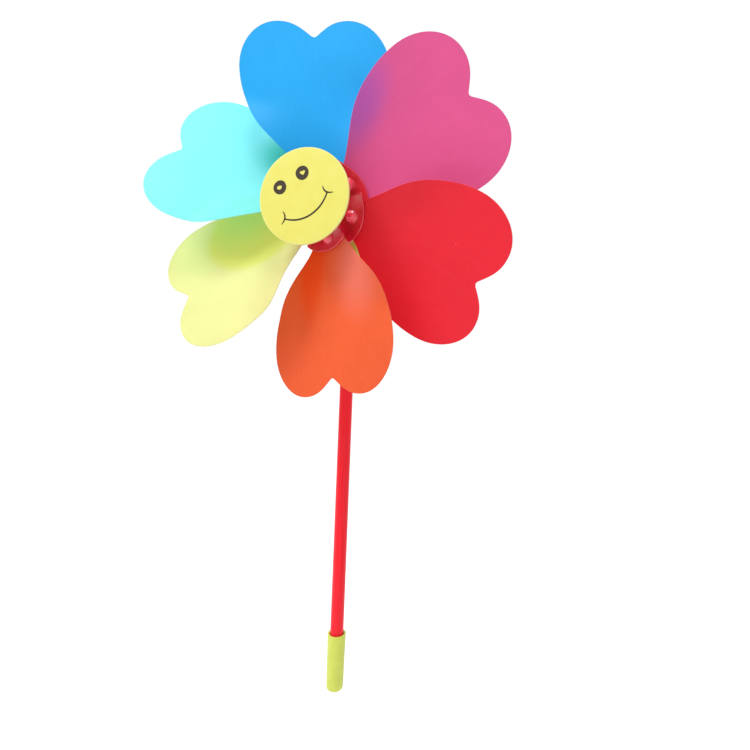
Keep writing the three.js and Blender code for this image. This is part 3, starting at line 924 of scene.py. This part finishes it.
def stick_finish():
    """Drawn plastic tube, with fine lines along it and a soft gloss."""
    finish = Finish("drawn_red_tube")
    along = finish.turned_place((0, 0, 0), (0, 0, 0), (1, 1, 60))
    lines = finish.noise(0.9, 3, 0.6, along)
    cloud = finish.noise(14, 2)
    dark, light = surface_colour((238, 14, 32)), surface_colour((248, 30, 46))
    tone = finish.blend(finish.span(lines, 0.3, 0.7), dark, light)
    tone = finish.blend(finish.span(cloud, 0.4, 0.7, 0, 0.3), tone, surface_colour((238, 40, 62)))
    scuffs = finish.specks(3, 0.22, 0.8)
    tone = finish.blend(finish.product(scuffs, 0.3), tone, surface_colour((245, 130, 140)))
    finish.set(Base_Color=tone, Roughness=finish.span(lines, 0.3, 0.7, 0.24, 0.36))
    finish.set(Specular_IOR_Level=0.18)
    finish.set(Subsurface_Weight=0.15, Subsurface_Scale=0.0015, Subsurface_Radius=(1.0, 0.2, 0.2))
    finish.bump(finish.product(lines, 1.0), 0.02)
    return finish.material


def lime_finish():
    """Soft satin moulding in yellow-green."""
    finish = Finish("lime_moulding")
    cloud = finish.noise(6, 3)
    grain = finish.noise(0.3, 3, 0.6)
    dark, light = surface_colour((200, 209, 82)), surface_colour((210, 219, 94))
    tone = finish.blend(finish.span(cloud, 0.3, 0.7), dark, light)
    finish.set(Base_Color=tone, Roughness=finish.span(grain, 0.3, 0.7, 0.36, 0.5))
    finish.set(Specular_IOR_Level=0.35)
    finish.set(Subsurface_Weight=0.25, Subsurface_Scale=0.0015, Subsurface_Radius=(1.0, 1.0, 0.4))
    finish.bump(finish.total(finish.product(grain, 0.4), finish.product(cloud, 0.6)), 0.03)
    return finish.material


def face_finish():
    """Yellow printed disc, paler round its cut edge."""
    finish = Finish("printed_yellow")
    centre = WHEEL_CENTRE + MM * np.array((DISC["centre"][0], 0, DISC["centre"][1]))
    flat = finish.turned_place(centre, (0, 0, 0), (1, 1000, 1))
    reach = finish.node("ShaderNodeVectorMath", {0: flat}, operation="LENGTH").outputs["Value"]
    cloud = finish.noise(9, 3)
    dots = finish.noise(0.45, 2, 0.6)
    dark, light = surface_colour((216, 208, 91)), surface_colour((219, 213, 104))
    tone = finish.blend(finish.span(cloud, 0.3, 0.7), dark, light)
    tone = finish.blend(finish.span(dots, 0.5, 0.8, 0, 0.3), tone, surface_colour((223, 217, 121)))
    rim = finish.span(reach, (DISC["radius"] - 0.9) * MM, (DISC["radius"] - 0.3) * MM, smooth=True)
    tone = finish.blend(finish.product(rim, 0.6), tone, surface_colour((230, 226, 150)))
    finish.set(Base_Color=tone, Roughness=finish.span(dots, 0.3, 0.7, 0.42, 0.55), Specular_IOR_Level=0.3)
    finish.bump(finish.total(finish.product(dots, 0.5), finish.product(cloud, 0.5)), 0.02)
    return finish.material


def ink_finish():
    """Dull brown ink of an uneven tone."""
    finish = Finish("brown_ink")
    grain = finish.noise(0.25, 3, 0.7)
    dark, light = surface_colour((40, 28, 16)), surface_colour((72, 56, 36))
    tone = finish.blend(finish.span(grain, 0.35, 0.75), dark, light)
    finish.set(Base_Color=tone, Roughness=finish.span(grain, 0.3, 0.7, 0.45, 0.6), Specular_IOR_Level=0.25)
    finish.bump(grain, 0.01)
    return finish.material


def foam_finish():
    """Off-white foam with open cells, with painted shade in each cell's pit."""
    finish = Finish("foam")
    cells = finish.node("ShaderNodeTexVoronoi", {"Vector": finish.place, "Scale": 1 / (0.35 * MM)})
    # Painted shade: the colour darkens towards each cell's middle, where the relief is deepest.
    depth = finish.span(cells.outputs["Distance"], 0, 0.7)
    tone = finish.blend(depth, surface_colour((214, 212, 204)), surface_colour((244, 243, 238)))
    finish.set(Base_Color=tone, Roughness=0.85, Specular_IOR_Level=0.2)
    finish.bump(depth, 0.12)
    return finish.material


def steel_finish():
    """Zinc-plated wire with drawing lines."""
    finish = Finish("plated_steel")
    along = finish.turned_place(WHEEL_CENTRE, (0, 0, 0), (1, 30, 1))
    lines = finish.noise(0.25, 3, 0.6, along)
    finish.set(Base_Color=finish.blend(lines, (0.42, 0.43, 0.45, 1), (0.66, 0.67, 0.69, 1)))
    finish.set(Metallic=1.0, Roughness=finish.span(lines, 0.3, 0.7, 0.22, 0.4))
    finish.bump(lines, 0.01)
    return finish.material


# ------------------------------------------------------------------ studio


def add_camera():
    """A short lens, to the right of the wheel's front and lower than its hub."""
    data = bpy.data.cameras.new("camera")
    data.lens = 23.48
    data.shift_x, data.shift_y = -0.0420, -0.0485
    camera = bpy.data.objects.new("camera", data)
    camera.location = (0.1311, -0.3216, 0.2400)
    camera.rotation_euler = [math.radians(a) for a in (90.859, -2.15, 15.371)]
    bpy.context.scene.collection.objects.link(camera)
    bpy.context.scene.camera = camera


def add_floor():
    """A wide pale floor below the hand that would hold the stick."""
    half, height = 20.0, -0.25
    mesh = bpy.data.meshes.new("floor")
    corners = [(-half, -half, height), (half, -half, height), (half, half, height), (-half, half, height)]
    mesh.from_pydata(corners, [], [(0, 1, 2, 3)])
    floor = bpy.data.objects.new("floor", mesh)
    bpy.context.scene.collection.objects.link(floor)
    finish = Finish("pale_floor")
    cloud = finish.noise(300, 2)
    finish.set(Base_Color=finish.blend(cloud, (0.9, 0.9, 0.9, 1), (0.93, 0.93, 0.93, 1)), Roughness=0.9)
    finish.set(Specular_IOR_Level=0.1, Emission_Color=(1, 1, 1, 1), Emission_Strength=0.25)
    mesh.materials.append(finish.material)


def add_light(name, place, size, watts, target=(0, -0.04, 0.31)):
    data = bpy.data.lights.new(name, "AREA")
    data.shape = "DISK"
    data.size = size
    data.energy = watts
    light = bpy.data.objects.new(name, data)
    light.location = place
    light.rotation_euler = (Vector(place) - Vector(target)).to_track_quat("Z", "Y").to_euler()
    bpy.context.scene.collection.objects.link(light)


def add_studio():
    """White all round, dimmer to the right, with two soft lamps above the front."""
    world = bpy.data.worlds.new("white_studio")
    bpy.context.scene.world = world
    world.use_nodes = True
    background = world.node_tree.nodes["Background"]
    background.inputs["Color"].default_value = (1, 1, 1, 1)
    direction = world.node_tree.nodes.new("ShaderNodeTexCoord")
    towards = world.node_tree.nodes.new("ShaderNodeVectorMath")
    towards.operation = "DOT_PRODUCT"
    towards.inputs[1].default_value = Vector((0.95, -0.3, 0)).normalized()
    level = world.node_tree.nodes.new("ShaderNodeMapRange")
    level.interpolation_type = "SMOOTHSTEP"
    for name, value in {"From Min": 0.0, "From Max": 1.0, "To Min": 1.02, "To Max": 0.65}.items():
        level.inputs[name].default_value = value
    links = world.node_tree.links
    links.new(direction.outputs["Generated"], towards.inputs[0])
    links.new(towards.outputs["Value"], level.inputs["Value"])
    links.new(level.outputs["Result"], background.inputs["Strength"])
    add_light("key", (-0.5, -0.6, 1.0), 0.5, 6.5)
    add_light("overhead", (0.15, -0.5, 1.15), 0.3, 3.8)
    bpy.context.scene.view_settings.view_transform = "Standard"
    bpy.context.scene.view_settings.look = "None"


# ------------------------------------------------------------------ the whole object


def main():
    add_camera()
    add_floor()
    add_studio()
    for k, petal in enumerate(PETALS):
        make_petal(k, petal, sheet_finish(k, petal), cut_edge_finish(petal))
    crimson, lime, ink, steel = hub_finish(), lime_finish(), ink_finish(), steel_finish()
    make_hub_front(crimson)
    make_hub_back(crimson)
    make_disc(face_finish())
    make_eye("print_eye_left", -1, ink)
    make_eye("print_eye_right", 1, ink)
    make_mouth(ink)
    make_pad(foam_finish())
    make_axle(steel)
    make_push_nut(steel)
    make_washer(lime)
    make_stick(stick_finish())
    make_foot(lime)
    make_head(lime)


main()
